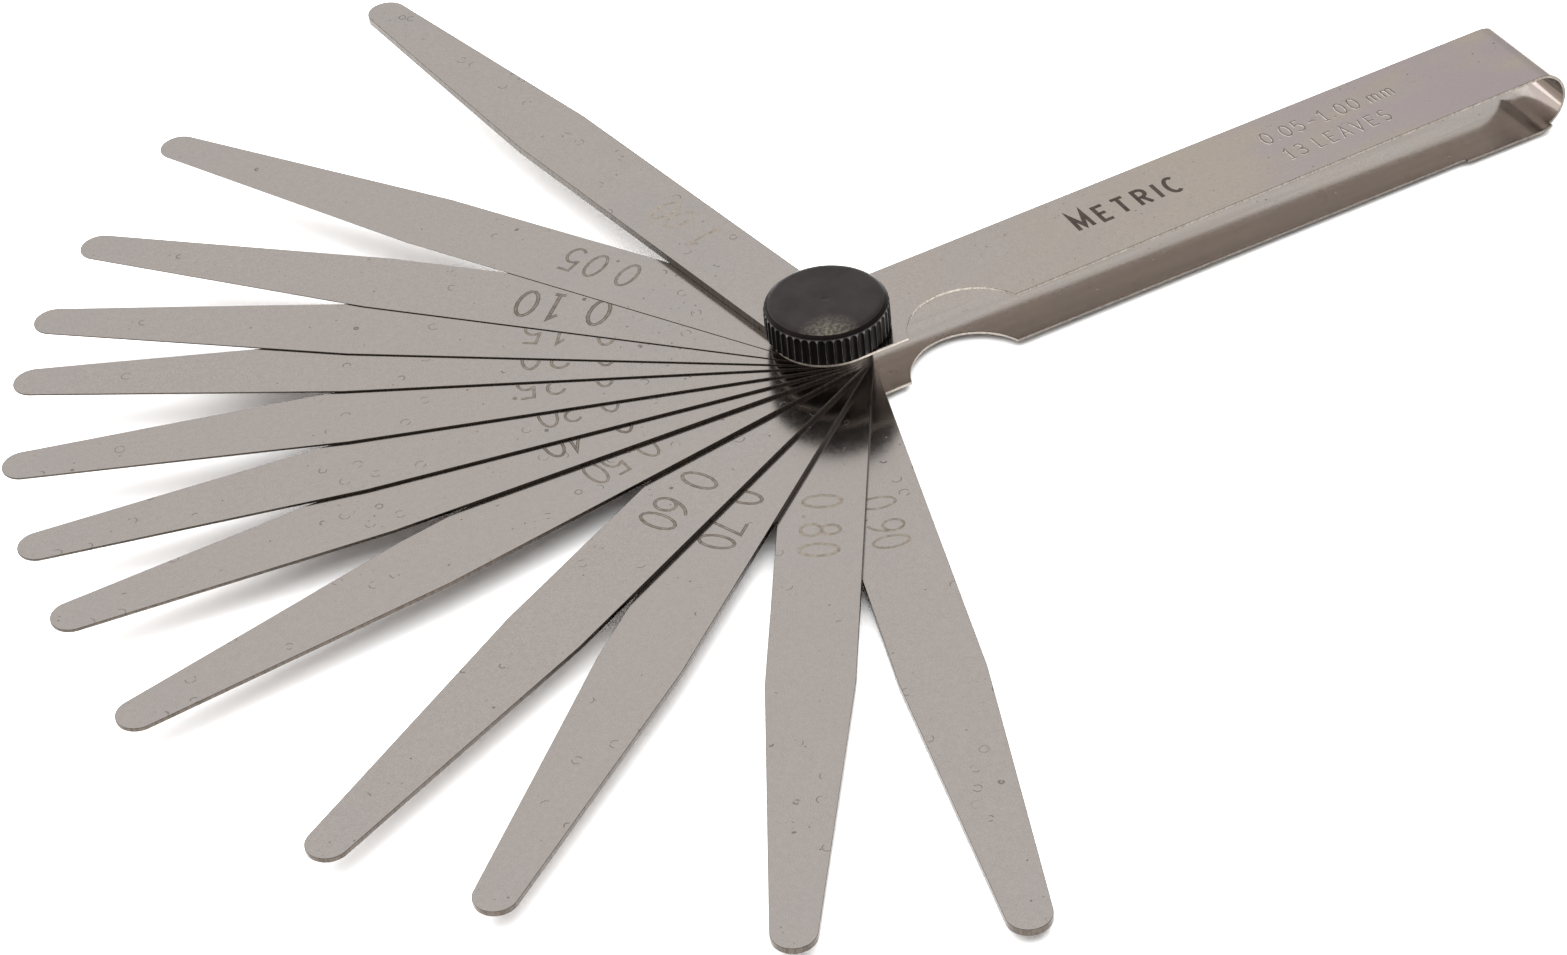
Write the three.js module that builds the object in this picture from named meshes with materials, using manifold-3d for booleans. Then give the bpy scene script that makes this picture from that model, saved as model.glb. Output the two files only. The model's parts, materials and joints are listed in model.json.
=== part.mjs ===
// Feeler gauge: thickness blades fanned on a clamp screw between the arms of a folded steel strip.
// Millimetres. The origin is on the screw's axis at the underside of the bush, +Z runs up the
// screw, and +X runs along the holder towards its bend.
import * as THREE from 'three';
import { mergeVertices } from 'three/addons/utils/BufferGeometryUtils.js';
import Module from 'manifold-3d';

// Blades, in pile order from the bottom up. swing is the angle from the holder to the blade,
// counter-clockwise from above; reach is the distance from the pivot to the blade's tip.
const BLADES = [
  { mark: '0_90', thickness: 0.90, swing: 253.1, reach: 100.4 },
  { mark: '0_80', thickness: 0.80, swing: 238.7, reach: 100.1 },
  { mark: '0_70', thickness: 0.70, swing: 219.6, reach: 99.6 },
  { mark: '0_60', thickness: 0.60, swing: 207.5, reach: 100.3 },
  { mark: '0_50', thickness: 0.50, swing: 188.6, reach: 99.9 },
  { mark: '0_40', thickness: 0.40, swing: 177.0, reach: 99.0 },
  { mark: '0_30', thickness: 0.30, swing: 168.8, reach: 99.4 },
  { mark: '0_25', thickness: 0.25, swing: 159.6, reach: 99.8 },
  { mark: '0_20', thickness: 0.20, swing: 150.1, reach: 99.6 },
  { mark: '0_15', thickness: 0.15, swing: 143.0, reach: 99.6 },
  { mark: '0_10', thickness: 0.10, swing: 133.8, reach: 99.1 },
  { mark: '0_05', thickness: 0.05, swing: 120.5, reach: 100.6 },
  { mark: '1_00', thickness: 1.00, swing: 98.5, reach: 100.1 },
];
const BLADE_WIDTH = 10.14;
const TAPER_START = 58.6;
const TIP_RADIUS = 2.6;
const PLAY = 0.02;
const RUNNING_GAP = 0.08;

// Holder: one strip, folded into a hairpin that opens slightly from the pivot to the bend. Its
// widths at the bend are from the centre line, the near one on the notch side.
const SHEET = 0.4;
const END_RADIUS = 7.05;
const BEND_FAR_WIDTH = 7.0;
const BEND_NEAR_WIDTH = 6.35;
const BEND_X = 99.15;
const BEND_Z = 4.90;
const BEND_RADIUS = 4.15;
const CLAMPED_LENGTH = 9;
const NOTCH = { x: 14.5, y: -9.35, radius: 7.8 };
const LEDGE = { start: 88, end: 101, width: 0.6, corner: 0.4 };

// Bush: flat head under the lower arm, sleeve up through the pile.
const HEAD_RADIUS = 5.5;
const HEAD_HEIGHT = 1.0;
const HEAD_CHAMFER = 0.25;
const SLEEVE_RADIUS = 3.0;
const BORE_RADIUS = 2.0;
const BORE_FLOOR = 1.3;

// Clamp screw and the knob moulded round its head.
const SCREW_RADIUS = 1.9;
const SCREW_TAPER = 0.4;
const SCREW_HEAD_RADIUS = 3.4;
const SCREW_HEAD_HEIGHT = 1.4;
const KNOB_RADIUS = 7.6;
const KNOB_HEIGHT = 4.55;
const KNOB_EDGE = 1.1;
const KNOB_FOOT = 0.3;
const FLUTES = 48;
const FLUTE_DEPTH = 0.3;
const KNOB_FLOOR = 1.2;
const MOULD_GAP = 0.05;

// Facets on a full round and steps along an arc of an outline.
const ROUND = 48;
const ARC_STEPS = 12;

// Heights worked out from the pile.
const PILE_BOTTOM = HEAD_HEIGHT + SHEET + PLAY;
const PILE_HEIGHT = BLADES.reduce((sum, blade) => sum + blade.thickness + PLAY, 0);
const ARM_UNDERSIDE = PILE_BOTTOM + PILE_HEIGHT;
const ARM_TOP = ARM_UNDERSIDE + SHEET;
const SLEEVE_TOP = ARM_TOP - 0.15;
const KNOB_BOTTOM = ARM_TOP + PLAY;
const PIVOT_HOLE_RADIUS = SLEEVE_RADIUS + RUNNING_GAP;

const wasm = await Module();
wasm.setup();

function solid(geometry) {
  const bare = geometry.clone();
  bare.deleteAttribute('normal');
  bare.deleteAttribute('uv');
  const merged = mergeVertices(bare, 1e-4);
  return new wasm.Manifold(new wasm.Mesh({
    numProp: 3,
    vertProperties: new Float32Array(merged.attributes.position.array),
    triVerts: new Uint32Array(merged.index.array),
  }));
}

function geometryOf(body) {
  const mesh = body.getMesh();
  const geometry = new THREE.BufferGeometry();
  geometry.setAttribute('position', new THREE.BufferAttribute(mesh.vertProperties, 3));
  geometry.setIndex(new THREE.BufferAttribute(mesh.triVerts, 1));
  geometry.computeVertexNormals();
  return geometry;
}

function plate(shape, low, high) {
  const geometry = new THREE.ExtrudeGeometry(shape, {
    depth: high - low,
    bevelEnabled: false,
    curveSegments: ARC_STEPS,
  });
  return geometry.translate(0, 0, low);
}

function disc(x, y, radius, low, high) {
  const geometry = new THREE.CylinderGeometry(radius, radius, high - low, ROUND);
  return geometry.rotateX(Math.PI / 2).translate(x, y, (low + high) / 2);
}

function turned(profile, facets = ROUND) {
  const points = profile.map(([radius, z]) => new THREE.Vector2(radius, z));
  return new THREE.LatheGeometry(points, facets).rotateX(Math.PI / 2);
}

// Angle at which a line from a point touches a circle; side is 1 for the upper line, -1 for the lower.
function touchAngle(point, centre, radius, side) {
  const dx = centre[0] - point[0];
  const dy = centre[1] - point[1];
  const direction = Math.atan2(dy, dx) + side * Math.asin(radius / Math.hypot(dx, dy));
  return direction + side * Math.PI / 2;
}

// A blade: round about the pivot, parallel to the start of the taper, then narrowing to a round tip.
function bladeOutline(reach) {
  const half = BLADE_WIDTH / 2;
  const tipX = reach - TIP_RADIUS;
  const touch = touchAngle([TAPER_START, half], [tipX, 0], TIP_RADIUS, 1);
  const outline = new THREE.Shape();
  outline.absarc(0, 0, half, Math.PI / 2, 3 * Math.PI / 2, false);
  outline.lineTo(TAPER_START, -half);
  outline.absarc(tipX, 0, TIP_RADIUS, -touch, touch, false);
  outline.lineTo(TAPER_START, half);
  outline.closePath();
  const hole = new THREE.Path();
  hole.absarc(0, 0, PIVOT_HOLE_RADIUS, 0, 2 * Math.PI, true);
  outline.holes.push(hole);
  return outline;
}

// Side view of the folded strip: flat where the screw clamps it, then spreading to the bend.
function hairpinSide() {
  const centre = [BEND_X, BEND_Z];
  const tail = -END_RADIUS - 1;
  const inner = BEND_RADIUS - SHEET;
  const lowOut = touchAngle([CLAMPED_LENGTH, HEAD_HEIGHT], centre, BEND_RADIUS, -1);
  const highOut = touchAngle([CLAMPED_LENGTH, ARM_TOP], centre, BEND_RADIUS, 1);
  const lowIn = touchAngle([CLAMPED_LENGTH, HEAD_HEIGHT + SHEET], centre, inner, -1);
  const highIn = touchAngle([CLAMPED_LENGTH, ARM_UNDERSIDE], centre, inner, 1);
  const side = new THREE.Shape();
  side.moveTo(tail, HEAD_HEIGHT);
  side.lineTo(CLAMPED_LENGTH, HEAD_HEIGHT);
  side.absarc(BEND_X, BEND_Z, BEND_RADIUS, lowOut, highOut, false);
  side.lineTo(CLAMPED_LENGTH, ARM_TOP);
  side.lineTo(tail, ARM_TOP);
  side.lineTo(tail, ARM_UNDERSIDE);
  side.lineTo(CLAMPED_LENGTH, ARM_UNDERSIDE);
  side.absarc(BEND_X, BEND_Z, inner, highIn, lowIn, true);
  side.lineTo(CLAMPED_LENGTH, HEAD_HEIGHT + SHEET);
  side.lineTo(tail, HEAD_HEIGHT + SHEET);
  side.closePath();
  return side;
}

function stripPlan() {
  const far = BEND_X + BEND_RADIUS + 1;
  const plan = new THREE.Shape();
  plan.absarc(0, 0, END_RADIUS, Math.PI / 2, 3 * Math.PI / 2, false);
  plan.lineTo(far, -BEND_NEAR_WIDTH);
  plan.lineTo(far, BEND_FAR_WIDTH);
  plan.closePath();
  return plan;
}

// The lower arm stands out a little on the notch side, just before the bend.
function ledgePlan() {
  const { start, end, width, corner } = LEDGE;
  const edge = -BEND_NEAR_WIDTH - width;
  const plan = new THREE.Shape();
  plan.moveTo(start, 0);
  plan.absarc(start + corner, edge + corner, corner, Math.PI, 3 * Math.PI / 2, false);
  plan.absarc(end - corner, edge + corner, corner, -Math.PI / 2, 0, false);
  plan.lineTo(end, 0);
  plan.closePath();
  return plan;
}

function holderStrip() {
  const tall = ARM_TOP + 3;
  const slab = plate(hairpinSide(), -END_RADIUS - 2, END_RADIUS + 2).rotateX(Math.PI / 2);
  const side = solid(slab);
  const arms = side.intersect(solid(plate(stripPlan(), -1, tall)));
  const ledge = side.intersect(solid(plate(ledgePlan(), -1, BEND_Z)));
  const notch = solid(disc(NOTCH.x, NOTCH.y, NOTCH.radius, -1, tall));
  const pivot = solid(disc(0, 0, PIVOT_HOLE_RADIUS, -1, tall));
  return geometryOf(arms.add(ledge).subtract(notch).subtract(pivot));
}

function baseBush() {
  return turned([
    [0, 0],
    [HEAD_RADIUS - HEAD_CHAMFER, 0],
    [HEAD_RADIUS, HEAD_CHAMFER],
    [HEAD_RADIUS, HEAD_HEIGHT],
    [SLEEVE_RADIUS, HEAD_HEIGHT],
    [SLEEVE_RADIUS, SLEEVE_TOP],
    [BORE_RADIUS, SLEEVE_TOP],
    [BORE_RADIUS, BORE_FLOOR],
    [0, BORE_FLOOR],
  ]);
}

function clampScrew() {
  const headBottom = KNOB_BOTTOM + KNOB_FLOOR;
  const headTop = headBottom + SCREW_HEAD_HEIGHT;
  const tip = BORE_FLOOR + 0.3;
  return turned([
    [0, tip],
    [SCREW_RADIUS - SCREW_TAPER, tip],
    [SCREW_RADIUS, tip + SCREW_TAPER],
    [SCREW_RADIUS, headBottom],
    [SCREW_HEAD_RADIUS, headBottom],
    [SCREW_HEAD_RADIUS, headTop],
    [0, headTop],
  ]);
}

// The knob's rim: hollow flutes that meet in narrow ridges, as points round one full turn.
function flutedOutline() {
  const outline = new THREE.Shape();
  const steps = FLUTES * 4;
  for (let step = 0; step < steps; step += 1) {
    const angle = 2 * Math.PI * step / steps;
    const radius = KNOB_RADIUS - FLUTE_DEPTH * Math.abs(Math.sin(angle * FLUTES / 2));
    const x = radius * Math.cos(angle);
    const y = radius * Math.sin(angle);
    if (step === 0) outline.moveTo(x, y);
    else outline.lineTo(x, y);
  }
  outline.closePath();
  return outline;
}

function clampKnob() {
  const top = KNOB_BOTTOM + KNOB_HEIGHT;
  const rounding = [0, 1, 2, 3, 4].map((step) => {
    const angle = (step / 4) * Math.PI / 2;
    return [
      KNOB_RADIUS - KNOB_EDGE + KNOB_EDGE * Math.cos(angle),
      top - KNOB_EDGE + KNOB_EDGE * Math.sin(angle),
    ];
  });
  const blank = turned([
    [0, KNOB_BOTTOM],
    [KNOB_RADIUS - KNOB_FOOT, KNOB_BOTTOM],
    [KNOB_RADIUS, KNOB_BOTTOM + KNOB_FOOT],
    ...rounding,
    [0, top],
  ], FLUTES * 2);
  const seat = KNOB_BOTTOM + KNOB_FLOOR - MOULD_GAP;
  const roof = seat + SCREW_HEAD_HEIGHT + 2 * MOULD_GAP;
  const pocket = turned([
    [0, KNOB_BOTTOM - 1],
    [SCREW_RADIUS + MOULD_GAP, KNOB_BOTTOM - 1],
    [SCREW_RADIUS + MOULD_GAP, seat],
    [SCREW_HEAD_RADIUS + MOULD_GAP, seat],
    [SCREW_HEAD_RADIUS + MOULD_GAP, roof],
    [0, roof],
  ]);
  const rim = solid(plate(flutedOutline(), KNOB_BOTTOM - 1, top + 1));
  return geometryOf(rim.intersect(solid(blank)).subtract(solid(pocket)));
}

function material(color, roughness, metalness) {
  return new THREE.MeshStandardMaterial({ color, roughness, metalness });
}

function part(name, geometry, finish) {
  const mesh = new THREE.Mesh(geometry, finish);
  mesh.name = name;
  return mesh;
}

const gauge = new THREE.Group();
gauge.add(part('holder_strip', holderStrip(), material(0xa9a29c, 0.3, 1)));
gauge.add(part('base_bush', baseBush(), material(0xb9b6b2, 0.25, 1)));
gauge.add(part('clamp_screw', clampScrew(), material(0x9a9894, 0.35, 1)));
gauge.add(part('clamp_knob', clampKnob(), material(0x17171a, 0.45, 0)));

let level = PILE_BOTTOM;
for (const { mark, thickness, swing, reach } of BLADES) {
  const arm = new THREE.Group();
  arm.position.z = level;
  arm.rotation.z = THREE.MathUtils.degToRad(swing);
  const geometry = plate(bladeOutline(reach), 0, thickness);
  arm.add(part(`blade_${mark}`, geometry, material(0xb3aba2, 0.25, 1)));
  gauge.add(arm);
  level += thickness + PLAY;
}

export default gauge;
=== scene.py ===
# A feeler gauge: thirteen thickness blades fanned out on a clamp screw, between the arms of a
# folded steel strip. Metres, in the frame's own axes: Z up the screw, X along the holder.
import json
import math

import bmesh
import bpy
from mathutils import Matrix, Vector


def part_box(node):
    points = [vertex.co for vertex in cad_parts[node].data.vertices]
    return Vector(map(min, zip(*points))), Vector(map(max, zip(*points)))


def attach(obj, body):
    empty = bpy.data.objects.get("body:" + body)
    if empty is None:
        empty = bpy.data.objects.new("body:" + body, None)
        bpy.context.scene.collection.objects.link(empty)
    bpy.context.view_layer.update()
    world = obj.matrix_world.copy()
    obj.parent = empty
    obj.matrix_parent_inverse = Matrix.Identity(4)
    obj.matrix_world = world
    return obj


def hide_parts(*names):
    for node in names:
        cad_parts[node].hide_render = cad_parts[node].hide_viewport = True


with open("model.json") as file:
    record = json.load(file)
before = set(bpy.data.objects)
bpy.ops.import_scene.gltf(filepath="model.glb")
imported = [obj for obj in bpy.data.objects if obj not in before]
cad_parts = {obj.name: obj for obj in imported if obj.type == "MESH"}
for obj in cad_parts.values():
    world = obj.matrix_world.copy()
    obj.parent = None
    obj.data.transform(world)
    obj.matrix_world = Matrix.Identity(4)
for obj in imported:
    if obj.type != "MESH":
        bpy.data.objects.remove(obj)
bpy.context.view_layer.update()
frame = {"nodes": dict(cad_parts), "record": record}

# ---------------------------------------------------------------------------------------------
# Camera: a long lens looking down on the gauge from the thumb-notch side, a little from the
# blades' end, with the holder running up to the right.
MM = 0.001
lens_length = 104.26
lens_azimuth = -24.8
lens_elevation = 38.45
lens_roll = -5.97
lens_distance = 532.9 * MM
lens_target = Vector((-14.6, -14.4, 1.4)) * MM

camera_data = bpy.data.cameras.new("camera")
camera_data.lens = lens_length
camera_data.clip_start = 0.01
camera = bpy.data.objects.new("camera", camera_data)
bpy.context.collection.objects.link(camera)
azimuth = math.radians(lens_azimuth)
elevation = math.radians(lens_elevation)
away = Vector((
    math.sin(azimuth) * math.cos(elevation),
    -math.cos(azimuth) * math.cos(elevation),
    math.sin(elevation),
))
facing = (-away).to_track_quat("-Z", "Y").to_matrix().to_4x4()
level_camera = Matrix.Translation(lens_target + away * lens_distance) @ facing
camera.matrix_world = level_camera @ Matrix.Rotation(math.radians(lens_roll), 4, "Z")
bpy.context.scene.camera = camera
bpy.context.scene.view_settings.view_transform = "Standard"


# ---------------------------------------------------------------------------------------------
# Room: a pale matt table top under one large soft fill, which lights without showing in the
# steel. The ceiling and the walls behind and to the left are bright, the others dim.
def add(tree, kind, inputs=None, **settings):
    """A node with its settings; an input is a value, or the output socket that feeds it."""
    node = tree.nodes.new(kind)
    for setting, value in settings.items():
        setattr(node, setting, value)
    for name, value in (inputs or {}).items():
        if isinstance(value, bpy.types.NodeSocket):
            tree.links.new(value, node.inputs[name])
        else:
            node.inputs[name].default_value = value
    return node


def ramp(tree, value, low, high, start=0.0, end=1.0):
    """Takes low..high to start..end, and holds it there outside that range."""
    return add(tree, "ShaderNodeMapRange", {
        "Value": value, "From Min": low, "From Max": high, "To Min": start, "To Max": end,
    }).outputs["Result"]


def calculate(tree, operation, first, second):
    return add(tree, "ShaderNodeMath", {0: first, 1: second}, operation=operation).outputs["Value"]


def new_material(name):
    """A material with its node tree and its one shader, for the caller to fill in."""
    material = bpy.data.materials.new(name)
    material.use_nodes = True
    return material, material.node_tree, material.node_tree.nodes["Principled BSDF"]


table_size = 3.0
table_drop = 0.02 * MM
paper_white = (0.90, 0.90, 0.90, 1)
bm = bmesh.new()
bmesh.ops.create_grid(bm, x_segments=1, y_segments=1, size=table_size)
table_mesh = bpy.data.meshes.new("table_top")
bm.to_mesh(table_mesh)
bm.free()
table = bpy.data.objects.new("table_top", table_mesh)
table.location.z = -table_drop
bpy.context.collection.objects.link(table)
paper, tree, shader = new_material("pale_paper")
shader.inputs["Base Color"].default_value = paper_white
shader.inputs["Roughness"].default_value = 0.9
shader.inputs["Specular IOR Level"].default_value = 0.1
table_mesh.materials.append(paper)

# Each wall: where its middle lies, the nearness to it at which it starts and is full, and how
# much light it adds or takes away.
horizon_light = 0.45
rise_to_zenith = 0.35
walls = (
    ((0.35, 0.75, 0.56), 0.10, 0.90, 0.33),
    ((-0.81, 0.55, 0.20), 0.65, 0.96, 0.80),
    ((-0.33, -0.71, 0.62), 0.45, 0.92, -0.16),
    ((0.94, -0.15, 0.30), 0.50, 0.92, -0.34),
    ((0.0, 0.0, 1.0), 0.78, 0.95, 0.35),
)
sky = bpy.data.worlds.new("sky")
bpy.context.scene.world = sky
sky.use_nodes = True
tree = sky.node_tree
direction = add(tree, "ShaderNodeTexCoord").outputs["Generated"]
height = add(tree, "ShaderNodeSeparateXYZ", {"Vector": direction}).outputs["Z"]
brightness = ramp(tree, height, 0.0, 1.0, horizon_light, horizon_light + rise_to_zenith)
for middle, edge_of_wall, full, gain in walls:
    nearness = add(tree, "ShaderNodeVectorMath", {0: direction, 1: middle}, operation="DOT_PRODUCT")
    wall = ramp(tree, nearness.outputs["Value"], edge_of_wall, full, 0.0, gain)
    brightness = calculate(tree, "ADD", brightness, wall)
background = tree.nodes["Background"]
background.inputs["Color"].default_value = (1.0, 1.0, 1.0, 1)
tree.links.new(brightness, background.inputs["Strength"])

softbox_size = 1.6
softbox_power = 31.0
softbox_place = (-0.06, 0.05, 0.85)
lamp_data = bpy.data.lights.new("softbox", "AREA")
lamp_data.size = softbox_size
lamp_data.energy = softbox_power
lamp = bpy.data.objects.new("softbox", lamp_data)
lamp.location = softbox_place
lamp.visible_glossy = False
bpy.context.collection.objects.link(lamp)


# ---------------------------------------------------------------------------------------------
# Holder strip: one piece of thin spring steel, blanked flat with a round end, a pivot hole and
# a thumb notch at each end, then folded into a hairpin round a mandrel. The two arms spread
# slightly towards the fold, and a narrow ledge is left on the lower arm beside it.
sheet = 0.4 * MM
sheet_softness = 0.06 * MM
round_end = 7.05 * MM
fold_far_width = 7.0 * MM
fold_near_width = 6.35 * MM
fold_x = 99.15 * MM
fold_z = 4.90 * MM
fold_radius = 4.15 * MM - sheet / 2
fold_steps = 36
clamped_length = 9.0 * MM
bush_head_height = 1.0 * MM
knob_play = 0.02 * MM
lower_arm_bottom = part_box("base_bush")[0][2] + bush_head_height
upper_arm_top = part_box("clamp_knob")[0][2] - knob_play
notch_x = 14.5 * MM
notch_y = -9.35 * MM
notch_radius = 7.8 * MM
pivot_hole = 3.08 * MM
ledge_start = 88.0 * MM
ledge_end = 101.0 * MM
ledge_width = 0.6 * MM
highlight_reach = 24 * MM
temper_reach = 90 * MM


def pen(bm, start, moves, steps_per_turn=96):
    """Draws a closed outline: ("to", x, y) is a straight edge, ("turn", x, y, angle) an arc."""
    tip = bmesh.ops.create_vert(bm, co=(*start, 0))["vert"][0]
    for move in moves:
        if move[0] == "to":
            tip = bmesh.ops.extrude_vert_indiv(bm, verts=[tip])["verts"][0]
            tip.co = (move[1], move[2], 0)
            continue
        _, x, y, angle = move
        steps = max(3, round(abs(angle) / math.tau * steps_per_turn))
        spun = bmesh.ops.spin(
            bm, geom=[tip], cent=(x, y, 0), axis=(0, 0, 1), dvec=(0, 0, 0),
            angle=angle, steps=steps, use_merge=False, use_duplicate=False,
        )
        tip = next(item for item in spun["geom_last"] if isinstance(item, bmesh.types.BMVert))
    bmesh.ops.remove_doubles(bm, verts=bm.verts[:], dist=1e-7)


def close_outline(bm):
    """Joins the two loose ends that the pen leaves."""
    ends = [vert for vert in bm.verts if len(vert.link_edges) == 1]
    if len(ends) == 2:
        bm.edges.new(ends)


def ring(bm, x, y, radius, steps=72):
    bmesh.ops.create_circle(
        bm, cap_ends=False, radius=radius, segments=steps, matrix=Matrix.Translation((x, y, 0)),
    )


def rim_edges(bm):
    """The sharp edges round the top and bottom of a flat plate."""
    least_angle = 1.2
    rims = []
    for edge in bm.edges:
        level = abs(edge.verts[0].co.z - edge.verts[1].co.z) < 1e-7
        if level and len(edge.link_faces) == 2 and edge.calc_face_angle() > least_angle:
            rims.append(edge)
    return rims


def blank(bm, thickness, softness):
    """Fills the outlines, gives the plate its thickness about z = 0 and breaks its rims."""
    bmesh.ops.triangle_fill(bm, use_beauty=True, use_dissolve=False, edges=bm.edges[:])
    bmesh.ops.translate(bm, verts=bm.verts[:], vec=(0, 0, -thickness / 2))
    grown = bmesh.ops.extrude_face_region(bm, geom=bm.faces[:], use_keep_orig=True)
    top = [item for item in grown["geom"] if isinstance(item, bmesh.types.BMVert)]
    bmesh.ops.translate(bm, verts=top, vec=(0, 0, thickness))
    bmesh.ops.recalc_face_normals(bm, faces=bm.faces[:])
    bmesh.ops.bevel(
        bm, geom=rim_edges(bm), offset=softness, offset_type="OFFSET", segments=2,
        profile=0.5, material=-1, affect="EDGES",
    )


def piece(name, bm, *materials, smooth_angle=20):
    mesh = bpy.data.meshes.new(name)
    bm.to_mesh(mesh)
    bm.free()
    mesh.shade_smooth()
    mesh.set_sharp_from_angle(angle=math.radians(smooth_angle))
    for material in materials:
        mesh.materials.append(material)
    made = bpy.data.objects.new(name, mesh)
    bpy.context.collection.objects.link(made)
    return made


def touch(point, centre, radius, side):
    """Angle on a circle where a line from the point touches it; side 1 is above, -1 below."""
    dx = centre[0] - point[0]
    dy = centre[1] - point[1]
    line = math.atan2(dy, dx) + side * math.asin(radius / math.hypot(dx, dy))
    return line + side * math.pi / 2


class Arm:
    """One arm of the hairpin as a path from the middle of the fold to the pivot."""

    def __init__(self, side, kink_z):
        self.side = side
        self.kink = (clamped_length, kink_z)
        centre = (fold_x, fold_z)
        self.turn = abs(touch(self.kink, centre, fold_radius, side))
        self.curve = fold_radius * self.turn
        self.leave = self.on_fold(self.turn)
        dx = self.kink[0] - self.leave[0]
        dz = self.kink[1] - self.leave[1]
        self.straight = math.hypot(dx, dz)
        self.slope = (dx / self.straight, dz / self.straight)
        self.length = self.curve + self.straight + clamped_length

    def on_fold(self, angle):
        x = fold_x + fold_radius * math.cos(angle)
        z = fold_z + self.side * fold_radius * math.sin(angle)
        return (x, z)

    def place(self, along, out):
        """Where a point lands: along the strip from the fold, and out from its middle."""
        if along <= self.curve:
            angle = along / fold_radius
            x, z = self.on_fold(angle)
            return (x + out * math.cos(angle), z + self.side * out * math.sin(angle))
        if along <= self.curve + self.straight:
            reach = along - self.curve
            x = self.leave[0] + self.slope[0] * reach
            z = self.leave[1] + self.slope[1] * reach
            return (x + self.side * self.slope[1] * out, z - self.side * self.slope[0] * out)
        return (self.length - along, self.kink[1] + self.side * out)


upper_arm = Arm(1, upper_arm_top - sheet / 2)
lower_arm = Arm(-1, lower_arm_bottom + sheet / 2)


def fold(verts):
    """Folds flat verts into the hairpin: x is the way along from the fold, z is outwards."""
    for vert in verts:
        arm = upper_arm if vert.co.x >= 0 else lower_arm
        x, z = arm.place(abs(vert.co.x), vert.co.z)
        vert.co = (x, vert.co.y, z)


def flat_strip():
    """The blank's outline with its two pivot holes, before thickness and folding."""
    bm = bmesh.new()
    near_slope = (round_end - fold_near_width) / upper_arm.length
    near_edge = lambda x: near_slope * x - round_end
    notch_edge = near_edge(notch_x)
    half_chord = math.sqrt(notch_radius ** 2 - (notch_y - notch_edge) ** 2)
    sweep = 2 * math.asin(half_chord / notch_radius)
    up = upper_arm.length
    low = -lower_arm.length
    lip = -fold_near_width - ledge_width
    pen(bm, (up, round_end), [
        ("turn", up, 0, -math.pi),
        ("to", up - notch_x + half_chord, notch_edge),
        ("turn", up - notch_x, notch_y, sweep),
        ("to", 0, -fold_near_width),
        ("to", low + ledge_end, near_edge(ledge_end)),
        ("to", low + ledge_end, lip),
        ("to", low + ledge_start, lip),
        ("to", low + ledge_start, near_edge(ledge_start)),
        ("to", low + notch_x + half_chord, notch_edge),
        ("turn", low + notch_x, notch_y, sweep),
        ("to", low, -round_end),
        ("turn", low, 0, -math.pi),
        ("to", 0, fold_far_width),
    ], steps_per_turn=128)
    close_outline(bm)
    ring(bm, up, 0, pivot_hole)
    ring(bm, low, 0, pivot_hole)
    return bm


def slice_across(bm, places):
    """Cuts the flat plate across so that it can bend."""
    for place in places:
        bmesh.ops.bisect_plane(
            bm, geom=bm.verts[:] + bm.edges[:] + bm.faces[:], dist=1e-8,
            plane_co=(place, 0, 0), plane_no=(1, 0, 0),
        )


def two_shades(tree, amount, first, second):
    """Colour that goes from the first shade to the second; an input may be a shade's socket."""
    mix = add(tree, "ShaderNodeMix", data_type="RGBA")
    tree.links.new(amount, mix.inputs[0])
    colour_in = [socket for socket in mix.inputs if socket.type == "RGBA"]
    for socket, shade in zip(colour_in, (first, second)):
        if isinstance(shade, bpy.types.NodeSocket):
            tree.links.new(shade, socket)
        else:
            socket.default_value = (*shade, 1)
    return next(socket for socket in mix.outputs if socket.type == "RGBA")


def noise(tree, place, scale, detail=2.0):
    """Cloudy pattern; the scale is in features a metre along x, y and z."""
    scale = scale if isinstance(scale, tuple) else (scale, scale, scale)
    stretched = add(tree, "ShaderNodeMapping", {"Vector": place, "Scale": scale})
    return add(tree, "ShaderNodeTexNoise", {
        "Vector": stretched.outputs["Vector"], "Scale": 1.0, "Detail": detail,
    }).outputs["Fac"]


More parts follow.
